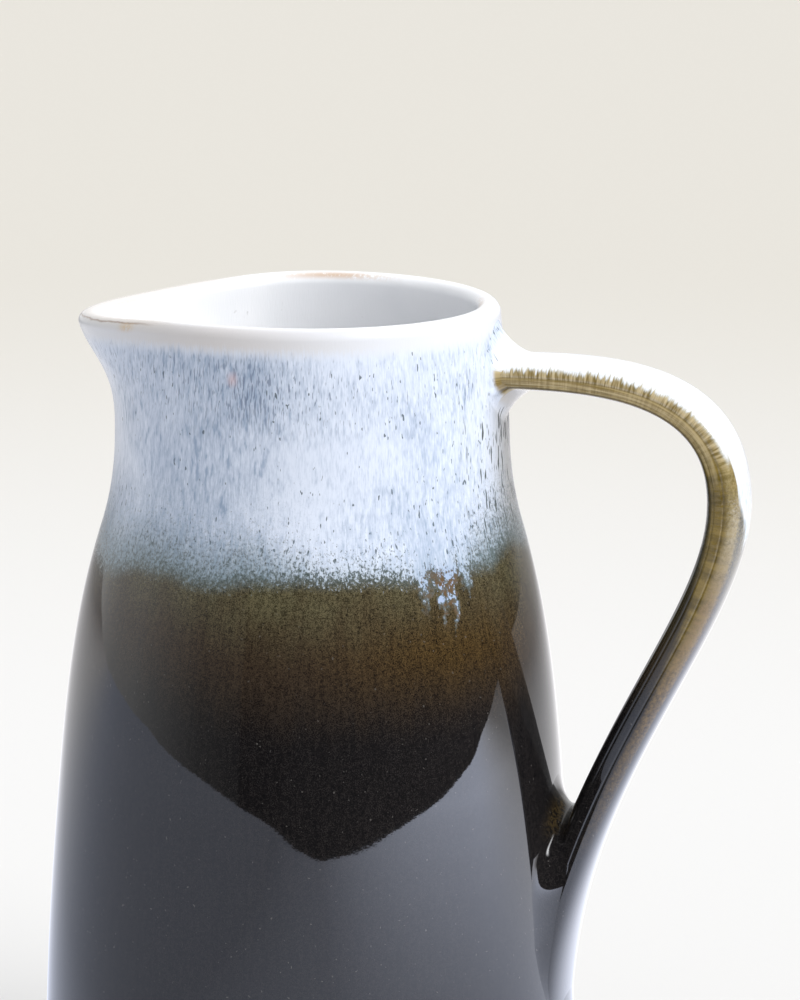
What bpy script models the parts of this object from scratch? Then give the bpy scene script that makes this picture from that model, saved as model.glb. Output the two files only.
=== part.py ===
"""A stoneware milk jug: a turned body with a pulled spout, and a strap handle luted on at two places.

Metres, +Z up. The handle lies along +X and the spout along -X. The origin is on the surface that the
foot ring stands on, under the middle of the jug's overall length.
"""

import math

import bmesh
import bpy
import numpy as np
from mathutils import Vector
from mathutils.geometry import interpolate_bezier

# Body: heights above the foot, or drops below the rim
HEIGHT = 0.190
BELLY_HEIGHT = 0.028
SHOULDER_DROP = 0.0477
NECK_DROP = 0.029

# Body: outside radii, and how far the wall leans in per unit of height
FOOT_RADIUS = 0.0475
BELLY_RADIUS = 0.0564
WAIST_RADIUS = 0.05355
SHOULDER_RADIUS = 0.0444
NECK_RADIUS = 0.0413
RIM_RADIUS = 0.0400
WAIST_LEAN = 0.0807
SHOULDER_LEAN = 0.306
NECK_LEAN = 0.035

# Body: clay
WALL = 0.0050
FLOOR = 0.0060
CORNER_ROUND = 0.016
FOOT_RING_WIDTH = 0.0045
FOOT_RECESS = 0.0020

# Spout: reach of its tip from the jug's axis, and how the pull fades down the neck
SPOUT_REACH = 0.0491
MOUTH_LEAN = 0.0010
SPOUT_FADE = 0.0119
SPOUT_DIP = 0.0037
SPOUT_DIP_FADE = 0.039

# Spout: the angle over which its tip is rounded, how much of the clay beside it is drawn in to it, and
# how narrow the drawn-in and dipped parts of the mouth are
SPOUT_TIP_ANGLE = 0.46
SPOUT_DRAW_IN = 0.34
SPOUT_DRAW_NARROWNESS = 2.4
SPOUT_DIP_NARROWNESS = 13

# Handle: its middle line, drops below the rim and the height of its tail above the foot
HANDLE_REACH = 0.0927
HANDLE_ROOT_DROP = 0.0137
HANDLE_REACH_DROP = 0.0389
HANDLE_TAIL_HEIGHT = 0.041
HANDLE_LIFT_ANGLE = -0.008
HANDLE_DIVE_ANGLE = 0.05
ARCH_TOP_PULL = 0.0175
ARCH_SIDE_PULL = 0.0290
LEG_TOP_PULL = 0.0263
LEG_TAIL_PULL = 0.0529

# Handle: the strap's section, and the flare of its tail, which starts and ends before the strap's end
STRAP_WIDTH_TOP = 0.0165
STRAP_WIDTH_LEG = 0.0195
STRAP_FLARE = 0.0115
FLARE_START = 0.060
FLARE_END = 0.012
STRAP_THICKNESS_TOP = 0.0053
STRAP_THICKNESS_LEG = 0.0071
STRAP_CROWN = 0.0013
STRAP_SQUARENESS = 3.6

# Joints: the fillets of clay round the strap's two ends, over it, beside it and under it, and how many
# times further each reaches on the body than on the strap
UPPER_FILLET_OVER = 0.0075
UPPER_FILLET_BESIDE = 0.0026
UPPER_FILLET_UNDER = 0.0085
UPPER_SPREAD = 1.0
LOWER_FILLET_OVER = 0.0030
LOWER_FILLET_BESIDE = 0.0034
LOWER_FILLET_UNDER = 0.0105
LOWER_SPREAD = 1.5
LEAST_FILLET = 0.0012
FILLET_EDGE = 0.0003
CLEARANCE = 0.0003

# Joints: the fillet as a share of how far the strap stands out some fillets further on, how narrow its parts
# over and under the strap are, and how deep the hollow of its face is
FILLET_SHARE = 0.7
FILLET_LOOK_AHEAD = 2
FILLET_NARROWNESS = 8
FILLET_HOLLOW = 0.42

# Glazes: colour and roughness
PALE_GLAZE = ((0.62, 0.68, 0.76), 0.20)
OLIVE_GLAZE = ((0.20, 0.16, 0.07), 0.20)
BLACK_GLAZE = ((0.035, 0.032, 0.034), 0.15)

# Facets
BODY_SEGMENTS = 64
WALL_STEPS = 18
WALL_CROWDING = 1.5
ROUND_STEPS = 8
STRAP_FIBRES = 24
STRAP_STEPS = 44
CAP_STEPS = 6
FILLET_SECTIONS = 60
ARRIS_CROWDING = 0.8
FILLET_STEPS = 5
CLIMB_STEPS = 6
FOOTPRINT_STEPS = 450
LINE_POINTS = 160
BISECTIONS = 40
SHARP_EDGE = math.radians(40)


def slope_at(function, place, step=1e-4):
    return (function(place + step) - function(place - step)) / (2 * step)


def outer_radius(z):
    """Radius of the outside wall at height z, before the spout is pulled."""
    if z <= BELLY_HEIGHT:
        fall = min(1 - z / BELLY_HEIGHT, 1)
        return FOOT_RADIUS + (BELLY_RADIUS - FOOT_RADIUS) * math.sqrt(1 - fall**2)
    shoulder = HEIGHT - SHOULDER_DROP
    stations = (
        (BELLY_HEIGHT, BELLY_RADIUS, 0.0),
        ((BELLY_HEIGHT + shoulder) / 2, WAIST_RADIUS, -WAIST_LEAN),
        (shoulder, SHOULDER_RADIUS, -SHOULDER_LEAN),
        (HEIGHT - NECK_DROP, NECK_RADIUS, -NECK_LEAN),
        (HEIGHT, RIM_RADIUS, -NECK_LEAN),
    )
    for (z0, r0, lean0), (z1, r1, lean1) in zip(stations, stations[1:]):
        if z <= z1 or z1 == HEIGHT:
            t = (z - z0) / (z1 - z0)
            rise = (z1 - z0) * (lean0 * t * (1 - t) ** 2 - lean1 * t**2 * (1 - t))
            return r0 + (r1 - r0) * t**2 * (3 - 2 * t) + rise


def lathe_profile():
    """(radius, height) pairs: the underside outwards, the outside up, the lip, and the inside down."""
    ring_inside = FOOT_RADIUS - FOOT_RING_WIDTH
    under = [(0, FOOT_RECESS), (ring_inside - FOOT_RECESS, FOOT_RECESS), (ring_inside, 0), (FOOT_RADIUS, 0)]
    quarter = [math.pi / 2 * i / ROUND_STEPS for i in range(1, ROUND_STEPS + 1)]
    heel_heights = [BELLY_HEIGHT * (1 - math.cos(turn)) for turn in quarter]
    heel = [(outer_radius(z), z) for z in heel_heights]

    lip_round = WALL / 2
    lip_start = HEIGHT - lip_round
    wall_heights = []
    for i in range(1, WALL_STEPS + 1):
        left = 1 - i / WALL_STEPS
        wall_heights.append(BELLY_HEIGHT + (lip_start - BELLY_HEIGHT) * (1 - left**WALL_CROWDING))
    outside = [(outer_radius(z), z) for z in wall_heights]

    lip_middle = outer_radius(lip_start) - lip_round
    lip = []
    for i in range(1, ROUND_STEPS):
        turn = math.pi * i / ROUND_STEPS
        lip.append((lip_middle + lip_round * math.cos(turn), lip_start + lip_round * math.sin(turn)))

    floor_top = FOOT_RECESS + FLOOR
    corner_top = floor_top + CORNER_ROUND
    inside = [(outer_radius(z) - WALL, z) for z in reversed(wall_heights) if z > corner_top]
    corner_radius = outer_radius(corner_top) - WALL - CORNER_ROUND
    corner = []
    for turn in [0] + quarter:
        out, up = math.cos(turn), 1 - math.sin(turn)
        corner.append((corner_radius + CORNER_ROUND * out, floor_top + CORNER_ROUND * up))
    return under + heel + outside + lip + inside + corner + [(0, floor_top)]


def spout_scale(away):
    """How many times wider the pulled mouth is than the round one, at an angle away from the spout.

    The two sides of the lip are straight, run tangent to the round mouth and meet in a rounded tip.
    """
    spread = math.acos(min(RIM_RADIUS / SPOUT_REACH, 1))
    softened = math.hypot(away, SPOUT_TIP_ANGLE) - SPOUT_TIP_ANGLE
    return 1 / math.cos(max(spread - softened, 0))


def mouth_lean(z):
    """How far the mouth leans towards the spout at height z."""
    depth = max(HEIGHT - z, 0)
    return MOUTH_LEAN * math.exp(-((depth / SPOUT_FADE) ** 2))


def pull_spout(bm):
    """Draws the round mouth out and down into the lip, and the clay beside it towards the tip."""
    for vert in bm.verts:
        x, y, z = vert.co
        radius = math.hypot(x, y)
        away = math.atan2(y, -x)
        away *= 1 - SPOUT_DRAW_IN * math.cos(away / 2) ** SPOUT_DRAW_NARROWNESS
        depth = max(HEIGHT - z, 0)
        radius *= 1 + (spout_scale(away) - 1) * math.exp(-((depth / SPOUT_FADE) ** 2))
        dip = SPOUT_DIP * math.cos(away / 2) ** SPOUT_DIP_NARROWNESS
        dip *= math.exp(-((depth / SPOUT_DIP_FADE) ** 2))
        vert.co = (-radius * math.cos(away) - mouth_lean(z), radius * math.sin(away), z - dip)


def body_mesh():
    bm = bmesh.new()
    profile = [bm.verts.new((radius, 0, z)) for radius, z in lathe_profile()]
    edges = [bm.edges.new(pair) for pair in zip(profile, profile[1:])]
    bmesh.ops.spin(
        bm, geom=profile + edges, axis=(0, 0, 1), cent=(0, 0, 0), angle=2 * math.pi, steps=BODY_SEGMENTS
    )
    bmesh.ops.remove_doubles(bm, verts=bm.verts, dist=1e-6)
    pull_spout(bm)
    return bm


class Strap:
    """The handle's strap: a crowned section swept along a middle line, which runs from inside the neck
    wall, out and round, down to the lower wall, and dives into that wall until nothing stands proud."""

    def __init__(self):
        root_z = HEIGHT - HANDLE_ROOT_DROP
        root = Vector((outer_radius(root_z) - WALL, 0, root_z))
        out = Vector((math.cos(HANDLE_LIFT_ANGLE), 0, math.sin(HANDLE_LIFT_ANGLE)))
        proud = STRAP_THICKNESS_LEG / 2 + STRAP_CROWN
        reach = Vector((HANDLE_REACH - proud, 0, HEIGHT - HANDLE_REACH_DROP))
        up = Vector((0, 0, 1))
        tail_x = outer_radius(HANDLE_TAIL_HEIGHT) - proud - CLEARANCE
        tail = Vector((tail_x, 0, HANDLE_TAIL_HEIGHT))
        back = Vector((math.sin(HANDLE_DIVE_ANGLE), 0, math.cos(HANDLE_DIVE_ANGLE)))
        arch = interpolate_bezier(
            root, root + out * ARCH_TOP_PULL, reach + up * ARCH_SIDE_PULL, reach, LINE_POINTS
        )
        leg = interpolate_bezier(
            reach, reach - up * LEG_TOP_PULL, tail + back * LEG_TAIL_PULL, tail, LINE_POINTS
        )
        self.points = np.array([(p.x, p.z) for p in arch + leg[1:]])
        steps = np.linalg.norm(np.diff(self.points, axis=0), axis=1)
        self.along = np.concatenate([[0], np.cumsum(steps)])
        self.length = self.along[-1]
        self.bend = self.along[LINE_POINTS - 1]
        tangents = np.gradient(self.points, self.along, axis=0)
        self.normals = np.stack([-tangents[:, 1], tangents[:, 0]], axis=1)

    def at(self, length, table):
        return [np.interp(length, self.along, table[:, axis]) for axis in (0, 1)]

    def point(self, length, angle, grow=0.0):
        """A point grow outside the strap's skin. Angle 0 is the +Y edge, a quarter turn the crown."""
        x, z = self.at(length, self.points)
        out_x, out_z = self.at(length, self.normals)
        width = np.interp(length, (0, self.length), (STRAP_WIDTH_TOP, STRAP_WIDTH_LEG))
        flare = np.interp(self.length - length, (FLARE_END, FLARE_START), (1, 0))
        width += STRAP_FLARE * flare**2 * (3 - 2 * flare)
        thickness = np.interp(length, (0, self.bend), (STRAP_THICKNESS_TOP, STRAP_THICKNESS_LEG))
        cosine, sine = math.cos(angle), math.sin(angle)
        rounding = abs(cosine) ** STRAP_SQUARENESS + abs(sine) ** STRAP_SQUARENESS
        across = cosine / rounding ** (1 / STRAP_SQUARENESS)
        proud = sine / rounding ** (1 / STRAP_SQUARENESS) * (thickness / 2 + grow)
        if sine > 0:
            proud += STRAP_CROWN * (1 - across**2)
        return Vector((x + proud * out_x, across * (width / 2 + grow), z + proud * out_z))

    def meets_body(self, angle, inside, outside, grow=0.0):
        """The length at which a fibre of the strap comes within the clearance of the body."""
        for _ in range(BISECTIONS):
            middle = (inside + outside) / 2
            if above_body(self.point(middle, angle, grow)) > CLEARANCE:
                outside = middle
            else:
                inside = middle
        return outside


def above_body(point):
    return math.hypot(point.x + mouth_lean(point.z), point.y) - outer_radius(point.z)


def onto_body(point):
    """The point moved level until it stands the clearance off the body."""
    lean = mouth_lean(point.z)
    scale = (outer_radius(point.z) + CLEARANCE) / math.hypot(point.x + lean, point.y)
    return Vector(((point.x + lean) * scale - lean, point.y * scale, point.z))


def body_normal(point):
    out = Vector((point.x + mouth_lean(point.z), point.y)).normalized()
    rise = out.x * slope_at(mouth_lean, point.z) - slope_at(outer_radius, point.z)
    return Vector((out.x, out.y, rise)).normalized()


def add_cap(bm, ends):
    """Closes one end of the strap with rows of faces that follow the body's curve."""
    crown = STRAP_FIBRES // 4
    rows = []
    for k in range(1, STRAP_FIBRES // 2):
        right, left = ends[crown - k], ends[(crown + k) % STRAP_FIBRES]
        inner = []
        for i in range(1, CAP_STEPS):
            inner.append(bm.verts.new(onto_body(right.co.lerp(left.co, i / CAP_STEPS))))
        rows.append([right, *inner, left])
    for row, tip in ((rows[0], ends[crown]), (rows[-1], ends[3 * crown])):
        for a, b in zip(row, row[1:]):
            bm.faces.new((a, b, tip))
    for row, below in zip(rows, rows[1:]):
        for i in range(CAP_STEPS):
            bm.faces.new((row[i], row[i + 1], below[i + 1], below[i]))


def handle_mesh(strap):
    bm = bmesh.new()
    fibres = []
    for i in range(STRAP_FIBRES):
        angle = 2 * math.pi * i / STRAP_FIBRES
        start = strap.meets_body(angle, 0, strap.bend)
        end = strap.meets_body(angle, strap.length, strap.bend)
        lengths = np.linspace(start, end, STRAP_STEPS + 1)
        fibres.append([bm.verts.new(strap.point(length, angle)) for length in lengths])
    for fibre, other in zip(fibres, fibres[1:] + fibres[:1]):
        for i in range(STRAP_STEPS):
            bm.faces.new((fibre[i], other[i], other[i + 1], fibre[i + 1]))
    add_cap(bm, [fibre[0] for fibre in fibres])
    add_cap(bm, [fibre[-1] for fibre in fibres])
    return bm


def footprint(strap, wall_end):
    """(length, angle) of places round the line where the strap, with its clearance, meets the body.

    They are spaced by the distance round the line and by the angle round the strap's section, half and
    half, and crowd together at its four arrises.
    """
    angles = np.linspace(0, 2 * math.pi, FOOTPRINT_STEPS)
    lengths = [strap.meets_body(angle, wall_end, strap.bend, CLEARANCE) for angle in angles]
    points = np.array([strap.point(*place, CLEARANCE) for place in zip(lengths, angles)])
    steps = np.linalg.norm(np.diff(points, axis=0), axis=1)
    along = np.concatenate([[0], np.cumsum(steps)])
    share = along / along[-1] + (angles - ARRIS_CROWDING * np.sin(4 * angles) / 4) / angles[-1]
    chosen = np.interp(np.linspace(0, share[-1], FILLET_SECTIONS, endpoint=False), share, angles)
    return [(strap.meets_body(angle, wall_end, strap.bend, CLEARANCE), angle) for angle in chosen]


def climb_strap(strap, length, angle, leg):
    """Points up the strap's skin from a place on the footprint, straight away from the body."""
    climb_step = leg / (FILLET_STEPS * CLIMB_STEPS)
    path = [strap.point(length, angle, CLEARANCE)]
    for _ in range(FILLET_STEPS * CLIMB_STEPS):
        along = slope_at(lambda l: strap.point(l, angle, CLEARANCE), length)
        round_it = slope_at(lambda a: strap.point(length, a, CLEARANCE), angle)
        normal = round_it.cross(along).normalized()
        away = body_normal(path[-1])
        climb = (away - normal * away.dot(normal)).normalized() * climb_step
        mixed = along.dot(round_it)
        grid = [[along.dot(along), mixed], [mixed, round_it.dot(round_it)]]
        moved = np.linalg.solve(grid, [along.dot(climb), round_it.dot(climb)])
        length += moved[0]
        angle += moved[1]
        path.append(strap.point(length, angle, CLEARANCE))
    return path[::CLIMB_STEPS], normal


def fillet_section(strap, length, angle, fillet, spread):
    """One closed section of a joint: along the body, over the hollow fillet and down the strap."""
    over, beside, under = fillet
    middle = over if math.sin(angle) > 0 else under
    whole = beside + (middle - beside) * math.sin(angle) ** FILLET_NARROWNESS
    ahead = math.copysign(FILLET_LOOK_AHEAD * whole, strap.bend - length)
    proud = above_body(strap.point(length + ahead, math.pi / 2))
    leg = min(max(FILLET_SHARE * proud, LEAST_FILLET), whole)
    up_strap, strap_normal = climb_strap(strap, length, angle, leg)
    corner = up_strap[0]
    away = body_normal(corner)
    out = (strap_normal - away * away.dot(strap_normal)).normalized()
    reach = leg * spread
    along_body = [onto_body(corner + out * reach * i / FILLET_STEPS) for i in range(FILLET_STEPS + 1)]
    body_edge = along_body[-1] + body_normal(along_body[-1]) * FILLET_EDGE
    strap_edge = up_strap[-1] + strap_normal * FILLET_EDGE
    into_body = (along_body[-2] - along_body[-1]).normalized() * FILLET_HOLLOW * reach
    into_strap = (up_strap[-2] - up_strap[-1]).normalized() * FILLET_HOLLOW * leg
    hollow = interpolate_bezier(
        body_edge, body_edge + into_body, strap_edge + into_strap, strap_edge, FILLET_STEPS + 1
    )
    return along_body + hollow + up_strap[:0:-1]


def joint_mesh(strap, wall_end, fillet, spread):
    bm = bmesh.new()
    sections = []
    for length, angle in footprint(strap, wall_end):
        section = fillet_section(strap, length, angle, fillet, spread)
        sections.append([bm.verts.new(point) for point in section])
    for section, other in zip(sections, sections[1:] + sections[:1]):
        count = len(section)
        for i in range(count):
            j = (i + 1) % count
            bm.faces.new((section[i], section[j], other[j], other[i]))
    return bm


def glaze(name, finish):
    colour, roughness = finish
    material = bpy.data.materials.new(name)
    material.use_nodes = True
    shader = material.node_tree.nodes["Principled BSDF"]
    shader.inputs["Base Color"].default_value = (*colour, 1)
    shader.inputs["Roughness"].default_value = roughness
    shader.inputs["Metallic"].default_value = 0
    material.diffuse_color = (*colour, 1)
    return material


def add_piece(name, bm, material, parent):
    bmesh.ops.recalc_face_normals(bm, faces=bm.faces)
    mesh = bpy.data.meshes.new(name)
    bm.to_mesh(mesh)
    bm.free()
    mesh.shade_smooth()
    mesh.set_sharp_from_angle(angle=SHARP_EDGE)
    mesh.materials.append(material)
    piece = bpy.data.objects.new(name, mesh)
    piece.parent = parent
    bpy.context.scene.collection.objects.link(piece)
    return piece


def main():
    for old in list(bpy.data.objects):
        bpy.data.objects.remove(old, do_unlink=True)

    axis = bpy.data.objects.new("jug_axis", None)
    axis.location.x = (max(BELLY_RADIUS, SPOUT_REACH + MOUTH_LEAN) - HANDLE_REACH) / 2
    bpy.context.scene.collection.objects.link(axis)

    strap = Strap()
    upper_fillet = (UPPER_FILLET_OVER, UPPER_FILLET_BESIDE, UPPER_FILLET_UNDER)
    lower_fillet = (LOWER_FILLET_OVER, LOWER_FILLET_BESIDE, LOWER_FILLET_UNDER)
    upper_joint = joint_mesh(strap, 0, upper_fillet, UPPER_SPREAD)
    lower_joint = joint_mesh(strap, strap.length, lower_fillet, LOWER_SPREAD)
    add_piece("body", body_mesh(), glaze("body_glaze", BLACK_GLAZE), axis)
    add_piece("handle", handle_mesh(strap), glaze("handle_glaze", OLIVE_GLAZE), axis)
    add_piece("upper_handle_joint", upper_joint, glaze("upper_joint_glaze", PALE_GLAZE), axis)
    add_piece("lower_handle_joint", lower_joint, glaze("lower_joint_glaze", BLACK_GLAZE), axis)


main()
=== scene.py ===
"""Looks of the stoneware milk jug: a finely modelled skin over each CAD solid, one glaze, soft light.

Metres, +Z up, handle along +X, spout along -X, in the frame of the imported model.
"""

import math

import bpy
import numpy as np
from mathutils import Matrix, Vector, noise
from mathutils.geometry import interpolate_bezier


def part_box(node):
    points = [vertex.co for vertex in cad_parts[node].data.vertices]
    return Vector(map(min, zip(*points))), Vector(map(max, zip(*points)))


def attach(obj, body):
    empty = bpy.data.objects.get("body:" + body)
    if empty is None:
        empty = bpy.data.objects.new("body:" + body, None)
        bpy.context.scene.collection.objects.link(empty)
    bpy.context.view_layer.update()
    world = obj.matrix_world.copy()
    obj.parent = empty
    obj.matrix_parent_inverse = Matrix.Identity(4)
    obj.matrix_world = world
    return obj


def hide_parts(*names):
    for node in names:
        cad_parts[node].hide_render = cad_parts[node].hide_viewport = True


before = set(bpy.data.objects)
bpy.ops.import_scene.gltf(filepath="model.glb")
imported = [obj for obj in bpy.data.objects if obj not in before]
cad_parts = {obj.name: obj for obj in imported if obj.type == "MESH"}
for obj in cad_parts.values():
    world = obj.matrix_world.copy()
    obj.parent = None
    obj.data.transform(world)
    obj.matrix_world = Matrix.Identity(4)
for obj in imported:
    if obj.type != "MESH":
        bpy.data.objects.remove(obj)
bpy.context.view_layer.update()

MM = 1000.0

# Sizes taken from the frame
BODY_LOW, BODY_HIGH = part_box("body")
AXIS_X = (BODY_LOW[0] + BODY_HIGH[0]) / 2
HEIGHT = BODY_HIGH[2] - BODY_LOW[2]
BELLY_RADIUS = (BODY_HIGH[0] - BODY_LOW[0]) / 2
HANDLE_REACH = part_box("handle")[1][0] - AXIS_X

# Body
BELLY_HEIGHT = 0.028
SHOULDER_DROP = 0.0477
NECK_DROP = 0.029
FOOT_RADIUS = 0.0475
WAIST_RADIUS = 0.05355
SHOULDER_RADIUS = 0.0444
NECK_RADIUS = 0.0413
RIM_RADIUS = 0.0400
WAIST_LEAN = 0.0807
SHOULDER_LEAN = 0.306
NECK_LEAN = 0.035
WALL = 0.0050
FLOOR = 0.0060
CORNER_ROUND = 0.016
FOOT_RING_WIDTH = 0.0045
FOOT_RECESS = 0.0020
FOOT_EDGE_ROUND = 0.0008
SPOUT_REACH = 0.0491
MOUTH_LEAN = 0.0010
SPOUT_FADE = 0.0119
SPOUT_DIP = 0.0037
SPOUT_DIP_FADE = 0.039
SPOUT_TIP_ANGLE = 0.46
SPOUT_DRAW_IN = 0.34
SPOUT_DRAW_NARROWNESS = 2.4
SPOUT_DIP_NARROWNESS = 13

# Handle
HANDLE_ROOT_DROP = 0.0137
HANDLE_REACH_DROP = 0.0389
HANDLE_TAIL_HEIGHT = 0.041
HANDLE_LIFT_ANGLE = -0.008
HANDLE_DIVE_ANGLE = 0.05
ARCH_TOP_PULL = 0.0175
ARCH_SIDE_PULL = 0.0290
LEG_TOP_PULL = 0.0263
LEG_TAIL_PULL = 0.0529
STRAP_WIDTH_TOP = 0.0165
STRAP_WIDTH_TAIL = 0.0195
STRAP_FLARE = 0.0115
FLARE_START = 0.060
FLARE_END = 0.012
STRAP_THICKNESS_TOP = 0.0053
STRAP_THICKNESS_LEG = 0.0071
STRAP_CROWN = 0.0013
STRAP_SQUARENESS = 3.6
TAIL_SINK = 0.0003

# Fillets at the handle's two ends, over it, beside it and under it, how many times further each reaches on
# the body than on the strap, and how far pieces reach into each other so that no seam shows
UPPER_FILLET = (0.0075, 0.0026, 0.0085)
UPPER_SPREAD = 1.0
UPPER_NARROWNESS = 4
LOWER_FILLET = (0.0030, 0.0030, 0.0105)
LOWER_SPREAD = 1.5
LOWER_NARROWNESS = 3
LEAST_FILLET = 0.0012
FILLET_SHARE = 0.7
FILLET_LOOK_AHEAD = 2
FILLET_HOLLOW = 0.42
FEATHER = 0.00005
BURY = 0.0006
END_BURY = 0.0012

# Marks of the making: throwing rings that wobble, an uneven wall, and grooves drawn along the strap's sides.
# The names that end in across, up, along and round say how fast a noise changes in that direction.
RING_PITCH = 0.0088
RING_HEIGHT = 0.0000015
RING_WOBBLE = 2.0
WOBBLE_ACROSS = 40.0
WOBBLE_UP = 60.0
UNEVEN = 0.000015
UNEVEN_SIZE = 0.060
UNEVEN_SHIFT = 7.0
FOOT_CALM = 0.012
LIP_CALM = 0.010
STRAP_UNEVEN = 0.0000075
STRAP_UNEVEN_ALONG = 45.0
STRAP_UNEVEN_ROUND = 2.2
GROOVE_DEPTH = 0.00016
GROOVE_WIDTH = 0.055
GROOVE_PLACES = (0.16, -0.42)
GROOVE_SIDE = 0.8
GROOVE_STRENGTH = 0.85
GROOVE_FAINTEST = 0.2
GROOVE_WANDER = 0.65
GROOVE_WANDER_ALONG = 60.0
GROOVE_WANDER_ROUND = 3.0
GROOVE_SHIFT = 3.0

# The glaze's value for distance from the lip, in millimetres, on pieces that have no lip
NO_LIP = -60.0

# Facets, and the points of the curves that they are spaced along
BODY_SEGMENTS = 272
WALL_STEPS = 150
ROUND_STEPS = 26
UNDER_STEPS = 30
RECESS_STEPS = 5
RING_STEPS = 7
FLOOR_STEPS = 24
STRAP_FIBRES = 184
STRAP_STEPS = 230
STRAP_SIDE = 0.93
STRAP_SIDE_DENSITY = 3.0
FILLET_SECTIONS = 260
FILLET_STEPS = 16
CLIMB_STEPS = 60
CLIMB_TANGENT_STEPS = 5
BODY_TANGENT_SHARE = 0.9
CORNER_CROWDING = 0.8
LINE_POINTS = 160
SECTION_POINTS = 6001
FOOTPRINT_POINTS = 4001
BISECTIONS = 40


def outer_radius(z):
    """Radius of the outside wall at heights z, before the spout is pulled."""
    z = np.asarray(z, float)
    fall = np.clip(1 - z / BELLY_HEIGHT, 0, 1)
    radius = FOOT_RADIUS + (BELLY_RADIUS - FOOT_RADIUS) * np.sqrt(1 - fall**2)
    shoulder = HEIGHT - SHOULDER_DROP
    stations = (
        (BELLY_HEIGHT, BELLY_RADIUS, 0.0),
        ((BELLY_HEIGHT + shoulder) / 2, WAIST_RADIUS, -WAIST_LEAN),
        (shoulder, SHOULDER_RADIUS, -SHOULDER_LEAN),
        (HEIGHT - NECK_DROP, NECK_RADIUS, -NECK_LEAN),
        (HEIGHT, RIM_RADIUS, -NECK_LEAN),
    )
    for (z0, r0, lean0), (z1, r1, lean1) in zip(stations, stations[1:]):
        t = (z - z0) / (z1 - z0)
        rise = (z1 - z0) * (lean0 * t * (1 - t) ** 2 - lean1 * t**2 * (1 - t))
        radius = np.where(z > z0, r0 + (r1 - r0) * t**2 * (3 - 2 * t) + rise, radius)
    return radius


def slope_at(function, place, step=1e-4):
    return (function(place + step) - function(place - step)) / (2 * step)


def lathe_profile():
    """Rows of radius, height and distance from the lip's crest: outside is negative, inside positive."""
    quarter = np.linspace(0, math.pi / 2, ROUND_STEPS)
    ring_inside = FOOT_RADIUS - FOOT_RING_WIDTH
    under = [(r, FOOT_RECESS) for r in np.linspace(0, ring_inside - FOOT_RECESS, UNDER_STEPS)]
    falls = FOOT_RECESS * (1 - np.linspace(0, 1, RECESS_STEPS + 1)[1:])
    under += [(ring_inside - fall, fall) for fall in falls]
    under += [(r, 0.0) for r in np.linspace(ring_inside, FOOT_RADIUS, RING_STEPS)[1:-1]]
    heel = [(float(outer_radius(z)), z) for z in BELLY_HEIGHT * (1 - np.cos(quarter))]
    lip_round = WALL / 2
    lip_start = HEIGHT - lip_round
    heights = np.linspace(BELLY_HEIGHT, lip_start, WALL_STEPS)[1:]
    outside = [(float(outer_radius(z)), z) for z in heights]
    middle = float(outer_radius(lip_start)) - lip_round
    turns = np.linspace(0, math.pi, ROUND_STEPS)[1:-1]
    lip = [(middle + lip_round * math.cos(t), lip_start + lip_round * math.sin(t)) for t in turns]
    floor_top = FOOT_RECESS + FLOOR
    corner_top = floor_top + CORNER_ROUND
    inside = [(float(outer_radius(z)) - WALL, z) for z in heights[::-2] if z > corner_top]
    corner_radius = float(outer_radius(corner_top)) - WALL - CORNER_ROUND
    corner = [
        (corner_radius + CORNER_ROUND * math.cos(t), floor_top + CORNER_ROUND * (1 - math.sin(t)))
        for t in quarter
    ]
    bottom = [(r, floor_top) for r in np.linspace(corner_radius, 0, FLOOR_STEPS)[1:]]
    rows = np.array(under + heel + outside + lip + inside + corner + bottom)
    run = np.concatenate([[0], np.cumsum(np.linalg.norm(np.diff(rows, axis=0), axis=1))])
    crest = run[np.argmax(rows[:, 1])]
    return np.column_stack([rows, run - crest])


def mouth_lean(z):
    """How far the mouth leans towards the spout at heights z."""
    return MOUTH_LEAN * np.exp(-((np.maximum(HEIGHT - z, 0) / SPOUT_FADE) ** 2))


def pull_spout(points):
    """Draws the round mouth out and down into the lip, and the clay beside it towards the tip."""
    x, y, z = points.T
    radius = np.hypot(x, y)
    away = np.arctan2(y, -x)
    away = away * (1 - SPOUT_DRAW_IN * np.cos(away / 2) ** SPOUT_DRAW_NARROWNESS)
    depth = np.maximum(HEIGHT - z, 0)
    softened = np.hypot(away, SPOUT_TIP_ANGLE) - SPOUT_TIP_ANGLE
    scale = 1 / np.cos(np.maximum(math.acos(RIM_RADIUS / SPOUT_REACH) - softened, 0))
    radius = radius * (1 + (scale - 1) * np.exp(-((depth / SPOUT_FADE) ** 2)))
    dip = SPOUT_DIP * np.cos(away / 2) ** SPOUT_DIP_NARROWNESS * np.exp(-((depth / SPOUT_DIP_FADE) ** 2))
    return np.column_stack([-radius * np.cos(away) - mouth_lean(z), radius * np.sin(away), z - dip])


def uneven(points):
    """How far the thrown wall stands out at each point: rings from the fingers, and slow unevenness."""
    out = np.empty(len(points))
    for i, (x, y, z) in enumerate(points):
        lean = math.atan2(y, x)
        wobble = noise.noise((x * WOBBLE_ACROSS, y * WOBBLE_ACROSS, z * WOBBLE_UP))
        rings = math.sin(2 * math.pi * z / RING_PITCH + lean + RING_WOBBLE * wobble)
        slow = noise.noise((x / UNEVEN_SIZE, y / UNEVEN_SIZE, z / UNEVEN_SIZE + UNEVEN_SHIFT))
        out[i] = RING_HEIGHT * rings + UNEVEN * slow
    return out


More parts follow.
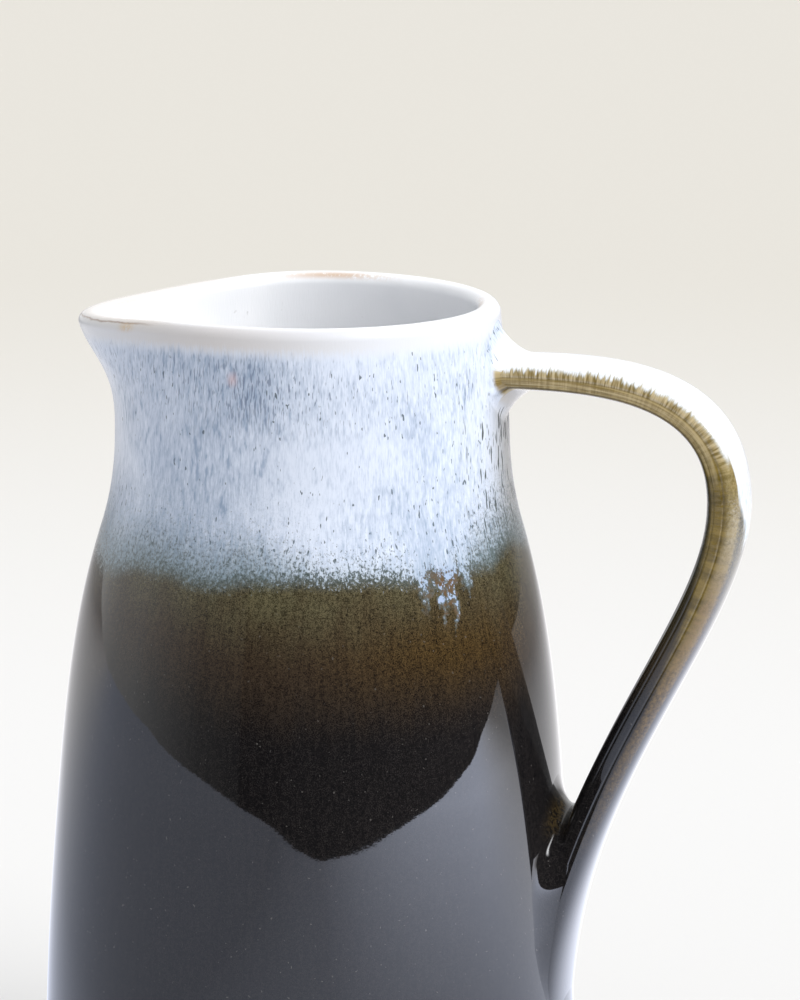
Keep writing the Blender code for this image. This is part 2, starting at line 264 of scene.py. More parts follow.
def make_piece(name, points, faces, values):
    """A smooth closed mesh in the frame's place, with named values at its points for the glaze."""
    mesh = bpy.data.meshes.new(name)
    moved = np.asarray(points) + (AXIS_X, 0, 0)
    mesh.from_pydata([tuple(p) for p in moved], [], faces)
    mesh.validate()
    mesh.shade_smooth()
    for key, numbers in values.items():
        layer = mesh.attributes.new(key, "FLOAT", "POINT")
        layer.data.foreach_set("value", np.asarray(numbers, np.float32))
    piece = bpy.data.objects.new(name, mesh)
    bpy.context.scene.collection.objects.link(piece)
    return piece


def make_body():
    profile = lathe_profile()
    rings = profile[1:-1]
    turns = np.linspace(0, 2 * math.pi, BODY_SEGMENTS, endpoint=False)
    radius, height, lip = rings.T
    tangent = np.gradient(rings[:, :2], axis=0)
    tangent /= np.linalg.norm(tangent, axis=1)[:, None]
    fade = np.clip((height - FOOT_EDGE_ROUND) / FOOT_CALM, 0, 1) * np.clip(np.abs(lip) / LIP_CALM, 0, 1)
    points = []
    for turn in turns:
        ring = np.column_stack([radius * math.cos(turn), radius * math.sin(turn), height])
        outward = np.column_stack(
            [tangent[:, 1] * math.cos(turn), tangent[:, 1] * math.sin(turn), -tangent[:, 0]]
        )
        points.append(ring + outward * (uneven(ring) * fade)[:, None])
    points = pull_spout(np.concatenate(points))
    count = len(rings)
    poles = np.array([[0, 0, profile[0, 1]], [0, 0, profile[-1, 1]]])
    base = len(points)
    faces = []
    for i in range(BODY_SEGMENTS):
        a, b = i * count, (i + 1) % BODY_SEGMENTS * count
        faces += [(a + k, b + k, b + k + 1, a + k + 1) for k in range(count - 1)]
        faces.append((base, b, a))
        faces.append((base + 1, a + count - 1, b + count - 1))
    lips = np.concatenate([np.tile(lip, BODY_SEGMENTS), profile[[0, -1], 2]])
    zero = np.zeros(len(lips))
    values = {"lip": lips * MM, "strap": zero, "across": zero, "proud": zero, "along": zero}
    return make_piece("body_skin", np.concatenate([points, poles]), faces, values)


class Strap:
    """The handle's strap: a crowned section swept along a middle line from the neck down to the belly."""

    def __init__(self):
        root_z = HEIGHT - HANDLE_ROOT_DROP
        root = Vector((float(outer_radius(root_z)) - WALL, 0, root_z))
        out = Vector((math.cos(HANDLE_LIFT_ANGLE), 0, math.sin(HANDLE_LIFT_ANGLE)))
        proud = STRAP_THICKNESS_LEG / 2 + STRAP_CROWN
        reach = Vector((HANDLE_REACH - proud, 0, HEIGHT - HANDLE_REACH_DROP))
        up = Vector((0, 0, 1))
        tail_x = float(outer_radius(HANDLE_TAIL_HEIGHT)) - proud - TAIL_SINK
        tail = Vector((tail_x, 0, HANDLE_TAIL_HEIGHT))
        back = Vector((math.sin(HANDLE_DIVE_ANGLE), 0, math.cos(HANDLE_DIVE_ANGLE)))
        arch = interpolate_bezier(
            root, root + out * ARCH_TOP_PULL, reach + up * ARCH_SIDE_PULL, reach, LINE_POINTS
        )
        leg = interpolate_bezier(
            reach, reach - up * LEG_TOP_PULL, tail + back * LEG_TAIL_PULL, tail, LINE_POINTS
        )
        self.points = np.array([(p.x, p.z) for p in arch + leg[1:]])
        steps = np.linalg.norm(np.diff(self.points, axis=0), axis=1)
        self.along = np.concatenate([[0], np.cumsum(steps)])
        self.length = self.along[-1]
        self.bend = self.along[LINE_POINTS - 1]
        tangents = np.gradient(self.points, self.along, axis=0)
        self.normals = np.stack([-tangents[:, 1], tangents[:, 0]], axis=1)

    @staticmethod
    def section(angle):
        """Place in the section, each from -1 to 1: across the strap, and out from its middle line."""
        cosine, sine = np.cos(angle), np.sin(angle)
        rounding = (np.abs(cosine) ** STRAP_SQUARENESS + np.abs(sine) ** STRAP_SQUARENESS) ** (
            1 / STRAP_SQUARENESS
        )
        return cosine / rounding, sine / rounding

    def point(self, length, angle, grow=0.0):
        """Points grow outside the strap's skin. Angle 0 is the +Y edge, a quarter turn the crown."""
        x, z = (np.interp(length, self.along, self.points[:, k]) for k in (0, 1))
        out_x, out_z = (np.interp(length, self.along, self.normals[:, k]) for k in (0, 1))
        width = np.interp(length, (0, self.length), (STRAP_WIDTH_TOP, STRAP_WIDTH_TAIL))
        flare = np.clip((length - self.length + FLARE_START) / (FLARE_START - FLARE_END), 0, 1)
        width = width + STRAP_FLARE * flare**2 * (3 - 2 * flare)
        thickness = np.interp(length, (0, self.bend), (STRAP_THICKNESS_TOP, STRAP_THICKNESS_LEG))
        across, out = self.section(angle)
        proud = out * (thickness / 2 + grow) + np.where(out > 0, STRAP_CROWN * (1 - across**2), 0)
        return np.stack([x + proud * out_x, across * (width / 2 + grow), z + proud * out_z], axis=-1)

    def meets_body(self, angle, inside, height=0.0):
        """The lengths at which fibres of the strap come within a height of the body's wall."""
        inside = np.full(np.shape(angle), float(inside))
        outside = np.full(np.shape(angle), self.bend)
        for _ in range(BISECTIONS):
            middle = (inside + outside) / 2
            clear = above_body(self.point(middle, angle)) > height
            outside, inside = np.where(clear, middle, outside), np.where(clear, inside, middle)
        return outside


def above_body(points):
    """How far outside the body's wall the points are, level."""
    x, y, z = np.moveaxis(points, -1, 0)
    return np.hypot(x + mouth_lean(z), y) - outer_radius(z)


def onto_body(points):
    """The points moved level onto the body's wall."""
    x, y, z = np.moveaxis(points, -1, 0)
    lean = mouth_lean(z)
    scale = outer_radius(z) / np.hypot(x + lean, y)
    return np.stack([(x + lean) * scale - lean, y * scale, z], axis=-1)


def unit(vectors):
    return vectors / np.linalg.norm(vectors, axis=-1, keepdims=True)


def body_normal(points):
    x, y, z = np.moveaxis(points, -1, 0)
    out_x, out_y = np.moveaxis(unit(np.stack([x + mouth_lean(z), y], axis=-1)), -1, 0)
    rise = out_x * slope_at(mouth_lean, z) - slope_at(outer_radius, z)
    return unit(np.stack([out_x, out_y, rise], axis=-1))


def strap_angles(strap):
    """Angles round the section, evenly spaced along it but closer together on the two grooved sides."""
    angles = np.linspace(0, 2 * math.pi, SECTION_POINTS)
    points = strap.point(np.full(angles.shape, strap.bend), angles)
    steps = np.linalg.norm(np.diff(points, axis=0), axis=1)
    across, _ = strap.section((angles[1:] + angles[:-1]) / 2)
    density = np.where(np.abs(across) > STRAP_SIDE, STRAP_SIDE_DENSITY, 1.0)
    run = np.concatenate([[0], np.cumsum(steps * density)])
    return np.interp(np.linspace(0, run[-1], STRAP_FIBRES, endpoint=False), run, angles)


def tube_faces(rows, count):
    faces = []
    for i in range(rows - 1):
        for k in range(count):
            j = (k + 1) % count
            faces.append((i * count + k, i * count + j, (i + 1) * count + j, (i + 1) * count + k))
    return faces


def groove_strength(length, across):
    """How clearly a groove shows at each place: it comes and goes along the strap."""
    spots = zip(length * GROOVE_WANDER_ALONG, across * GROOVE_WANDER_ROUND)
    wander = np.array([noise.noise((*spot, GROOVE_SHIFT)) for spot in spots])
    return np.clip(GROOVE_STRENGTH + GROOVE_WANDER * wander, GROOVE_FAINTEST, 1)


def make_handle(strap):
    angles = strap_angles(strap)
    start = strap.meets_body(angles, 0, -END_BURY)
    end = strap.meets_body(angles, strap.length, -END_BURY)
    across, proud = strap.section(angles)
    groove = np.zeros_like(angles)
    for place in GROOVE_PLACES:
        groove += np.exp(-(((proud - place) / GROOVE_WIDTH) ** 2)) * (np.abs(across) > GROOVE_SIDE)
    rows, runs = [], []
    for share in np.linspace(0, 1, STRAP_STEPS + 1):
        length = start + (end - start) * share
        runs.append(length)
        spots = zip(length * STRAP_UNEVEN_ALONG, across * STRAP_UNEVEN_ROUND, proud * STRAP_UNEVEN_ROUND)
        drawn = STRAP_UNEVEN * np.array([noise.noise(spot) for spot in spots])
        grooved = GROOVE_DEPTH * groove * groove_strength(length, across)
        rows.append(strap.point(length, angles, drawn - grooved))
    points = np.concatenate(rows + [[rows[0].mean(axis=0)], [rows[-1].mean(axis=0)]])
    count = len(angles)
    faces = tube_faces(len(rows), count)
    first, last = len(points) - 2, len(points) - 1
    tail = (len(rows) - 1) * count
    faces += [(first, (k + 1) % count, k) for k in range(count)]
    faces += [(last, tail + k, tail + (k + 1) % count) for k in range(count)]
    repeat = len(rows)
    values = {
        "lip": np.full(len(points), NO_LIP),
        "strap": np.ones(len(points)),
        "across": np.concatenate([np.tile(across, repeat), [0, 0]]),
        "proud": np.concatenate([np.tile(proud, repeat), [0, 0]]),
        "along": np.concatenate(runs + [[0, 0]]) * MM,
    }
    return make_piece("handle_skin", points, faces, values)


def climb_strap(strap, length, angle, leg):
    """Places up the strap's skin from the footprint, straight away from the body."""
    step = leg / CLIMB_STEPS
    places = [(length, angle)]
    for _ in range(CLIMB_STEPS):
        here = strap.point(length, angle)
        along = slope_at(lambda l: strap.point(l, angle), length)
        around = slope_at(lambda a: strap.point(length, a), angle)
        normal = unit(np.cross(around, along))
        away = body_normal(here)
        climb = unit(away - normal * np.sum(away * normal, -1, keepdims=True)) * step[:, None]
        ll, aa, la = (np.sum(p * q, -1) for p, q in ((along, along), (around, around), (along, around)))
        lc, ac = np.sum(along * climb, -1), np.sum(around * climb, -1)
        scale = ll * aa - la**2
        length = length + (lc * aa - ac * la) / scale
        angle = angle + (ac * ll - lc * la) / scale
        places.append((length, angle))
    return places, normal


def footprint(strap, wall_end):
    """Places on the strap's skin where it meets the wall, closer together at the corners of its section."""
    angles = np.linspace(0, 2 * math.pi, FOOTPRINT_POINTS)
    lengths = strap.meets_body(angles, wall_end)
    steps = np.linalg.norm(np.diff(strap.point(lengths, angles), axis=0), axis=1)
    run = np.concatenate([[0], np.cumsum(steps)])
    share = run / run[-1] + (angles - CORNER_CROWDING * np.sin(4 * angles) / 4) / angles[-1]
    angle = np.interp(np.linspace(0, share[-1], FILLET_SECTIONS, endpoint=False), share, angles)
    return strap.meets_body(angle, wall_end), angle


def fillet_legs(strap, length, angle, fillet, narrowness):
    """How far the fillet climbs the strap at each place: less where the strap isn't yet far off the wall."""
    over, beside, under = fillet
    middle = np.where(np.sin(angle) > 0, over, under)
    whole = beside + (middle - beside) * np.abs(np.sin(angle)) ** narrowness
    ahead = np.copysign(FILLET_LOOK_AHEAD * whole, strap.bend - length)
    proud = above_body(strap.point(length + ahead, np.full(angle.shape, math.pi / 2)))
    return np.minimum(np.maximum(FILLET_SHARE * proud, LEAST_FILLET), whole)


def make_joint(name, strap, wall_end, fillet, spread, narrowness):
    """A collar of clay with a hollow face, whose edges run out smoothly on the body and the strap."""
    length, angle = footprint(strap, wall_end)
    leg = fillet_legs(strap, length, angle, fillet, narrowness)
    reach = (leg * spread)[:, None]
    places, strap_normal = climb_strap(strap, length, angle, leg)
    corner = strap.point(*places[0])
    away = body_normal(corner)
    out = unit(strap_normal - away * np.sum(away * strap_normal, -1, keepdims=True))

    # Hollow face: a curve from the edge on the body to the edge on the strap, in line with each at its ends
    body_end = onto_body(corner + out * reach)
    before = onto_body(corner + out * reach * BODY_TANGENT_SHARE)
    body_edge = body_end - body_normal(body_end) * FEATHER
    strap_edge = strap.point(*places[-1], -FEATHER)
    body_pull = body_edge + unit(before - body_end) * FILLET_HOLLOW * reach
    down_strap = unit(strap.point(*places[-1 - CLIMB_TANGENT_STEPS]) - strap.point(*places[-1]))
    strap_pull = strap_edge + down_strap * (FILLET_HOLLOW * leg[:, None])
    rows, blends = [], []
    for t in np.linspace(0, 1, FILLET_STEPS + 1):
        weights = ((1 - t) ** 3, 3 * t * (1 - t) ** 2, 3 * t**2 * (1 - t), t**3)
        parts = (body_edge, body_pull, strap_pull, strap_edge)
        rows.append(sum(w * p for w, p in zip(weights, parts)))
        blends.append(t * t * (3 - 2 * t))

    # Back of the collar, buried in the strap and in the body
    for step in (CLIMB_STEPS, CLIMB_STEPS // 2, 0):
        rows.append(strap.point(*places[step], -BURY))
        blends.append(1)
    for part in (0.0, 0.5, 1.0):
        spot = onto_body(corner + out * reach * part)
        rows.append(spot - body_normal(spot) * BURY)
        blends.append(0)
    points = np.concatenate(rows)
    count = len(angle)
    faces = tube_faces(len(rows), count)
    last = (len(rows) - 1) * count
    faces += [(last + k, last + (k + 1) % count, (k + 1) % count, k) for k in range(count)]
    top_length, top_angle = places[-1]
    across, proud = strap.section(top_angle)
    values = {
        "lip": np.full(len(points), NO_LIP),
        "strap": np.repeat(blends, count),
        "across": np.tile(across, len(rows)),
        "proud": np.tile(proud, len(rows)),
        "along": np.tile(top_length, len(rows)) * MM,
    }
    return make_piece(name, points, faces, values)


def face_outward(piece):
    """Turns a closed mesh so that its faces look out."""
    mesh = piece.data
    volume = 0.0
    for polygon in mesh.polygons:
        corners = [mesh.vertices[i].co for i in polygon.vertices]
        for b, c in zip(corners[1:], corners[2:]):
            volume += corners[0].dot(b.cross(c))
    if volume < 0:
        mesh.flip_normals()


class Nodes:
    """Short words for the node tree of one material or of the world."""

    def __init__(self, tree):
        self.tree = tree

    def add(self, kind, inputs=(), **settings):
        node = self.tree.nodes.new(kind)
        for key, value in settings.items():
            setattr(node, key, value)
        for key, value in dict(inputs).items():
            self.put(value, node.inputs[key])
        return node

    def put(self, value, socket):
        if isinstance(value, bpy.types.NodeSocket):
            self.tree.links.new(value, socket)
        else:
            socket.default_value = value

    def math(self, operation, a, b=0.0):
        return self.add("ShaderNodeMath", {0: a, 1: b}, operation=operation).outputs[0]

    def plus(self, *terms):
        total = terms[0]
        for term in terms[1:]:
            total = self.math("ADD", total, term)
        return total

    def times(self, *terms):
        total = terms[0]
        for term in terms[1:]:
            total = self.math("MULTIPLY", total, term)
        return total

    def without(self, share):
        """What a share leaves of 1."""
        return self.math("SUBTRACT", 1.0, share)

    def off_middle(self, value, size):
        """A noise value, moved so that it sways a size about 0."""
        return self.times(self.math("SUBTRACT", value, 0.5), size)

    def step(self, value, low, high, to_low=0.0, to_high=1.0):
        """Smooth step of a value from low to high."""
        node = self.add(
            "ShaderNodeMapRange",
            {"Value": value, "From Min": low, "From Max": high, "To Min": to_low, "To Max": to_high},
            interpolation_type="SMOOTHSTEP",
        )
        return node.outputs["Result"]

    def line(self, value, low, high, to_low, to_high):
        """Straight line through two values, level beyond them."""
        inputs = {"Value": value, "From Min": low, "From Max": high, "To Min": to_low, "To Max": to_high}
        return self.add("ShaderNodeMapRange", inputs).outputs["Result"]

    def bump_at(self, value, place, width):
        """1 at a place of the value, falling smoothly to 0 a width to either side."""
        off = self.math("ABSOLUTE", self.math("SUBTRACT", value, place))
        return self.step(off, 0.0, width, 1.0, 0.0)

    def mix(self, factor, a, b):
        """Mix of two colours."""
        node = self.add("ShaderNodeMix", data_type="RGBA")
        for socket, value in zip((node.inputs[0], node.inputs[6], node.inputs[7]), (factor, a, b)):
            if isinstance(value, tuple) and len(value) == 3:
                value = (*value, 1)
            self.put(value, socket)
        return node.outputs[2]

    def blend(self, factor, a, b):
        """Mix of two numbers."""
        node = self.add("ShaderNodeMix", data_type="FLOAT")
        for socket, value in zip((node.inputs[0], node.inputs[2], node.inputs[3]), (factor, a, b)):
            self.put(value, socket)
        return node.outputs[0]

    def vector(self, x, y, z):
        return self.add("ShaderNodeCombineXYZ", {0: x, 1: y, 2: z}).outputs[0]

    def noise(self, vector, scale, detail=2.0, roughness=0.5):
        inputs = {"Vector": vector, "Scale": scale, "Detail": detail, "Roughness": roughness}
        return self.add("ShaderNodeTexNoise", inputs).outputs[0]


# Colours of the pale glaze on the wall
PALE = ((0.665, 0.725, 0.855), (0.335, 0.41, 0.545))
UNDER_RIM = ((0.68, 0.69, 0.73), (0.605, 0.565, 0.545))
BLUE_DAB = (0.19, 0.27, 0.41)
BLUE_HAIR = (0.13, 0.165, 0.25)
DARK_SPOT = (0.070, 0.095, 0.115)
PINK_FLUSH = (0.62, 0.40, 0.40)
NAPE_BEIGE = (0.42, 0.40, 0.36)
NAPE_DASH = (0.060, 0.075, 0.080)
MOTTLE_BLUE = (0.20, 0.285, 0.37)
EDGE_TEAL = (0.205, 0.280, 0.325)
DRIP_LAVENDER = (0.33, 0.42, 0.62)

# Colours of the glaze below it, each between its flecks and on them
BROWN = ((0.014, 0.0095, 0.0075), (0.062, 0.043, 0.027))
GOLDEN_BROWN = ((0.010, 0.0065, 0.0035), (0.086, 0.052, 0.018))
OLIVE = ((0.022, 0.020, 0.011), (0.142, 0.126, 0.070))
OLIVE_BROWN = ((0.016, 0.012, 0.007), (0.100, 0.076, 0.040))
BLACK = ((0.0050, 0.0048, 0.0055), (0.0180, 0.0160, 0.0160))
BARE_TEAL = ((0.070, 0.090, 0.092), (0.135, 0.165, 0.168))
PALE_SPECK = (0.20, 0.19, 0.18)
DRIP_RUST = (0.125, 0.070, 0.030)

# Colours of the strap
STRAP_TAN = ((0.20, 0.145, 0.050), (0.56, 0.46, 0.28))
STRAP_OLIVE = ((0.24, 0.175, 0.065), (0.47, 0.37, 0.185))
STRAP_WHITE = ((0.80, 0.82, 0.85), (0.45, 0.50, 0.57))
STRAP_BLUE = (0.42, 0.55, 0.70)
STRAP_BENEATH = (0.50, 0.47, 0.43)
TOOTH_GREY = (0.40, 0.40, 0.33)
CREASE_BROWN = (0.15, 0.115, 0.050)
UNDER_BROWN = (0.085, 0.062, 0.026)
BEND_YELLOW = ((0.105, 0.078, 0.012), (0.255, 0.195, 0.050))
BEND_DARK = (0.045, 0.034, 0.014)
LEG_OCHRE = ((0.105, 0.073, 0.012), (0.235, 0.165, 0.038))
# Painted shade on the leg's sides towards the body
LEG_PAINTED_SHADE = (0.030, 0.023, 0.010)
ARRIS_GOLD = ((0.205, 0.130, 0.042), (0.30, 0.245, 0.125))
WEB_AMBER = (0.135, 0.090, 0.028)

# Colours of the inside, the lip and the foot
INSIDE_WHITE = ((0.885, 0.895, 0.925), (0.82, 0.835, 0.87))
PINHOLE = (0.30, 0.29, 0.28)
WORN_TAN = (0.52, 0.33, 0.19)
TIP_BEIGE = (0.58, 0.52, 0.47)
TIP_LINE = (0.20, 0.125, 0.075)
TIP_AMBER = (0.60, 0.40, 0.17)
CLAY = ((0.30, 0.20, 0.125), (0.46, 0.34, 0.23))

# Roughness of glossy glaze, of the satin pale glaze and of bare clay, and the glaze's index of refraction
GLOSSY = 0.018
SATIN = 0.20
CLAY_ROUGH = 0.75
GLAZE_IOR = 1.5

# Lower edge of the pale glaze, and the radius at which its runs are drawn, both in millimetres
EDGE_HEIGHT = 138.6
RUN_RADIUS = 48.0

# Drips of that edge and worn places of the rim: turn and half width in degrees, then length in mm or share
DRIPS = (
    (-46.5, 3.4, 6.0),
    (-41.5, 2.8, 9.0),
    (-38.0, 2.6, 10.5),
    (-33.0, 3.0, 4.0),
    (-148.0, 26.0, 2.5),
    (118.0, 9.0, 7.0),
    (62.0, 6.0, 8.0),
    (35.0, 4.0, 6.0),
    (-8.0, 16.0, -3.0),
)
WORN_RIM = ((96.0, 30.0, 1.0), (8.0, 22.0, 0.8), (170.0, 30.0, 0.5))


class Glaze(Nodes):
    """A material, with the places, noises and zones of the jug that the colours of its glaze share."""

    def __init__(self, name):
        self.material = bpy.data.materials.new(name)
        self.material.use_nodes = True
        super().__init__(self.material.node_tree)
        self.find_place()
        self.make_noises()
        self.find_zones()

    def stored(self, key):
        """A value that the mesh keeps for each of its points."""
        return self.add("ShaderNodeAttribute", attribute_name=key).outputs["Fac"]

    def find_place(self):
        """Up in millimetres, turn round the axis in degrees, and what the meshes keep."""
        place = self.add("ShaderNodeTexCoord").outputs["Object"]
        split = self.add("ShaderNodeSeparateXYZ", {0: place})
        x = self.math("SUBTRACT", split.outputs[0], AXIS_X)
        y = split.outputs[1]
        radius = self.math("SQRT", self.plus(self.times(x, x), self.times(y, y), 1e-9))
        north = self.math("DIVIDE", y, radius)
        self.east = self.math("DIVIDE", x, radius)
        self.turn = self.times(self.math("ARCTAN2", north, self.east), 180 / math.pi)
        self.up = self.times(split.outputs[2], MM)
        self.ring_x = self.times(self.east, RUN_RADIUS)
        self.ring_y = self.times(north, RUN_RADIUS)
        self.solid = self.add("ShaderNodeVectorMath", {0: place, 3: MM}, operation="SCALE").outputs[0]
        self.lip = self.stored("lip")
        self.strap = self.stored("strap")
        self.across = self.stored("across")
        self.proud = self.stored("proud")
        self.along = self.stored("along")

    def flow(self, stretch, scale, detail, roughness, shift=0.0):
        """Noise drawn out down the wall, as glaze runs."""
        height = self.plus(self.times(self.up, stretch), shift)
        return self.noise(self.vector(self.ring_x, self.ring_y, height), scale, detail, roughness)

    def make_noises(self):
        """Noises of the whole jug, of the runs on its wall, and of the strap along its length."""
        self.grain = self.noise(self.solid, 1.3, 3.0, 0.65)
        self.fine = self.noise(self.solid, 4.2, 2.0, 0.7)
        self.cloud = self.noise(self.solid, 0.045, 2.0, 0.5)
        self.blobs = self.noise(self.solid, 0.62, 2.0, 0.6)
        self.strokes = self.flow(0.17, 3.0, 2.0, 0.6)
        self.dabs = self.flow(0.34, 0.95, 2.0, 0.5, 41.0)
        self.cells = self.flow(0.75, 2.4, 3.0, 0.65, 23.0)
        self.hairs = self.flow(0.17, 2.8, 1.0, 0.5, 31.0)
        runs = self.flow(0.10, 1.1, 3.0, 0.65, 17.0)
        self.speckle = self.plus(
            self.off_middle(self.grain, 0.9),
            self.off_middle(self.fine, 2.1),
            self.off_middle(runs, 0.45),
            0.5,
        )
        self.flecks = self.step(self.speckle, 0.10, 0.95)
        drawn = self.vector(self.times(self.along, 0.04), 3.0, self.times(self.proud, 4.0))
        self.lines = self.noise(drawn, 1.6, 2.0, 0.6)
        crossing = self.vector(self.along, 5.0, self.times(self.proud, 0.8))
        self.bands = self.noise(crossing, 0.50, 3.0, 0.6)

    def find_zones(self):
        """Millimetres above the pale glaze's wavy edge, without and with its drips, and shares of zones."""
        wave = self.off_middle(self.flow(0.0, 0.05, 2.0, 0.5, 5.0), 7.0)
        self.above = self.math("SUBTRACT", self.up, self.plus(EDGE_HEIGHT, wave))
        wobbled = self.plus(self.turn, self.off_middle(self.noise(self.solid, 0.42, 2.0, 0.6), 8.0))
        drips = (self.times(self.bump_at(wobbled, at, width), long) for at, width, long in DRIPS)
        self.over = self.plus(self.above, self.plus(*drips))
        self.under_rim = self.step(self.plus(self.lip, self.off_middle(self.strokes, 2.4)), -8.0, -4.6)
        self.thick = self.times(self.step(self.turn, -98.0, -70.0), self.step(self.turn, -20.0, -38.0))
        self.nape = self.times(self.bump_at(self.turn, -2.0, 36.0), self.step(self.up, 176.0, 168.0))
        self.broken = self.times(self.bump_at(self.turn, -41.0, 13.0), self.step(self.above, 4.0, -1.0))
        width, depth = self.math("ABSOLUTE", self.across), self.math("ABSOLUTE", self.proud)
        self.side = self.math("SUBTRACT", width, depth)
        self.on_side = self.step(self.side, -0.10, 0.02)


def thin_share(g):
    """Where the pale glaze is thin and blue, in fine short runs."""
    high = g.bump_at(g.up, 178.0, 15.0)
    thin = g.plus(
        g.off_middle(g.strokes, 1.35),
        g.off_middle(g.dabs, 0.9),
        g.off_middle(g.cloud, 1.3),
        g.times(high, g.bump_at(g.turn, -84.0, 42.0), 0.42),
        g.times(g.bump_at(g.turn, -128.0, 50.0), 0.20),
        g.times(g.bump_at(g.turn, -68.0, 28.0), -0.22),
        g.times(g.bump_at(g.turn, -38.0, 22.0), g.step(g.over, 30.0, 4.0), 0.40),
        g.times(g.step(g.over, 24.0, 4.0), g.step(g.turn, -78.0, -104.0, 0.10, 0.42)),
    )
    return g.times(g.step(thin, -0.45, 0.85), g.without(g.times(g.under_rim, 0.85)))


def pale_colour(g, thin):
    """Pale glaze: lavender white where it is thick, blue grey where thin, and teal towards its edge."""
    pale = g.mix(thin, *PALE)
    beige = g.times(g.under_rim, g.bump_at(g.turn, -112.0, 62.0))
    pale = g.mix(g.times(g.under_rim, 0.8), pale, g.mix(beige, *UNDER_RIM))
    below_rim = g.without(g.under_rim)

    # Dabs, hairs, spots and one flush
    dabs = g.step(g.plus(g.dabs, g.off_middle(g.cloud, 0.5)), 0.58, 0.74)
    pale = g.mix(g.times(dabs, g.blend(g.thick, 0.50, 0.12), below_rim), pale, BLUE_DAB)
    hairs = g.plus(
        g.hairs,
        g.off_middle(g.cloud, 0.4),
        g.times(g.bump_at(g.turn, -86.0, 32.0), 0.09),
        g.times(g.thick, -0.05),
    )
    hairs = g.times(g.step(hairs, 0.60, 0.70), g.bump_at(g.up, 177.5, 14.0), below_rim, 0.72)
    pale = g.mix(hairs, pale, BLUE_HAIR)
    spots = g.plus(
        g.flow(0.40, 1.35, 1.0, 0.5, 11.0),
        g.off_middle(g.noise(g.solid, 0.10, 1.0), 0.24),
        g.times(g.step(g.over, 26.0, 4.0), 0.055),
        g.times(g.bump_at(g.turn, -32.0, 44.0), 0.035),
        g.times(g.under_rim, -0.25),
    )
    pale = g.mix(g.times(g.step(spots, 0.735, 0.775), 0.85), pale, DARK_SPOT)
    flush = g.times(g.bump_at(g.turn, -100.0, 2.6), g.bump_at(g.up, 179.5, 2.2), 0.5)
    pale = g.mix(flush, pale, PINK_FLUSH)

    # Under the handle: beige towards the back, with long dark dashes
    pale = g.mix(g.times(g.nape, g.step(g.turn, -20.0, 4.0), 0.75), pale, NAPE_BEIGE)
    dashes = g.step(g.plus(g.flow(0.24, 0.95, 1.0, 0.5, 51.0), g.times(g.nape, 0.10)), 0.665, 0.72)
    pale = g.mix(g.times(dashes, g.step(g.nape, 0.05, 0.4)), pale, NAPE_DASH)

    # Towards its edge, and in the drips
    mottled = g.times(g.step(g.cells, 0.48, 0.68), g.step(g.above, 30.0, 6.0), g.blend(g.thick, 0.40, 0.15))
    pale = g.mix(mottled, pale, MOTTLE_BLUE)
    fading = g.times(g.step(g.above, g.blend(g.thick, 13.0, 7.0), -3.0), g.blend(g.thick, 0.84, 0.55))
    pale = g.mix(fading, pale, EDGE_TEAL)
    return g.mix(g.times(g.broken, 0.8), pale, DRIP_LAVENDER)


def covered_share(g):
    """Where the pale glaze covers the wall: towards its edge it breaks into cells, at drips into blobs."""
    thickness = g.plus(
        g.line(g.over, -7.0, 3.0, -1.1, 0.22),
        g.line(g.over, 3.0, 20.0, 0.0, 0.85),
        g.times(g.nape, -0.16),
        g.times(g.broken, g.plus(g.off_middle(g.blobs, 3.0), -0.42)),
    )
    cells = g.plus(g.off_middle(g.cells, 1.7), g.off_middle(g.grain, 1.5))
    share = g.plus(cells, thickness, g.times(g.thick, 0.10))
    return g.step(share, g.blend(g.thick, -0.25, -0.02), g.blend(g.thick, 0.70, 0.40))


def dark_colour(g):
    """Glaze below the pale one: olive, then brown that is golden beside the drips, then black."""
    fall = g.plus(
        g.up,
        g.off_middle(g.flow(0.10, 0.30, 2.0, 0.5, 3.0), 8.0),
        g.times(g.bump_at(g.turn, -135.0, 55.0), -6.0),
    )
    golden = g.times(g.bump_at(g.turn, -40.0, 48.0), g.bump_at(g.up, 125.0, 19.0))
    brown = g.mix(golden, g.mix(g.flecks, *BROWN), g.mix(g.flecks, *GOLDEN_BROWN))
    patches = g.step(g.flow(0.6, 0.16, 3.0, 0.6, 61.0), 0.35, 0.65)
    olive = g.mix(g.times(patches, 0.55), g.mix(g.flecks, *OLIVE), g.mix(g.flecks, *OLIVE_BROWN))
    black = g.mix(g.step(g.speckle, 0.20, 0.90), *BLACK)
    dark = g.mix(g.step(fall, 105.0, 126.0), black, brown)
    dark = g.mix(g.times(g.step(fall, 121.0, 138.0), g.without(g.times(golden, 0.6))), dark, olive)
    specks = g.step(g.noise(g.solid, 1.7, 0.0), 0.80, 0.86)
    return g.mix(g.times(specks, 0.30), dark, PALE_SPECK)


def bare_colour(g, dark):
    """What shows where the pale glaze breaks: teal above its edge, rust between the drips, dark below."""
    teal = g.mix(g.flecks, *BARE_TEAL)
    teal = g.mix(g.times(g.broken, g.step(g.blobs, 0.60, 0.35), 0.9), teal, DRIP_RUST)
    return g.mix(g.step(g.over, -2.0, 2.5), dark, teal)


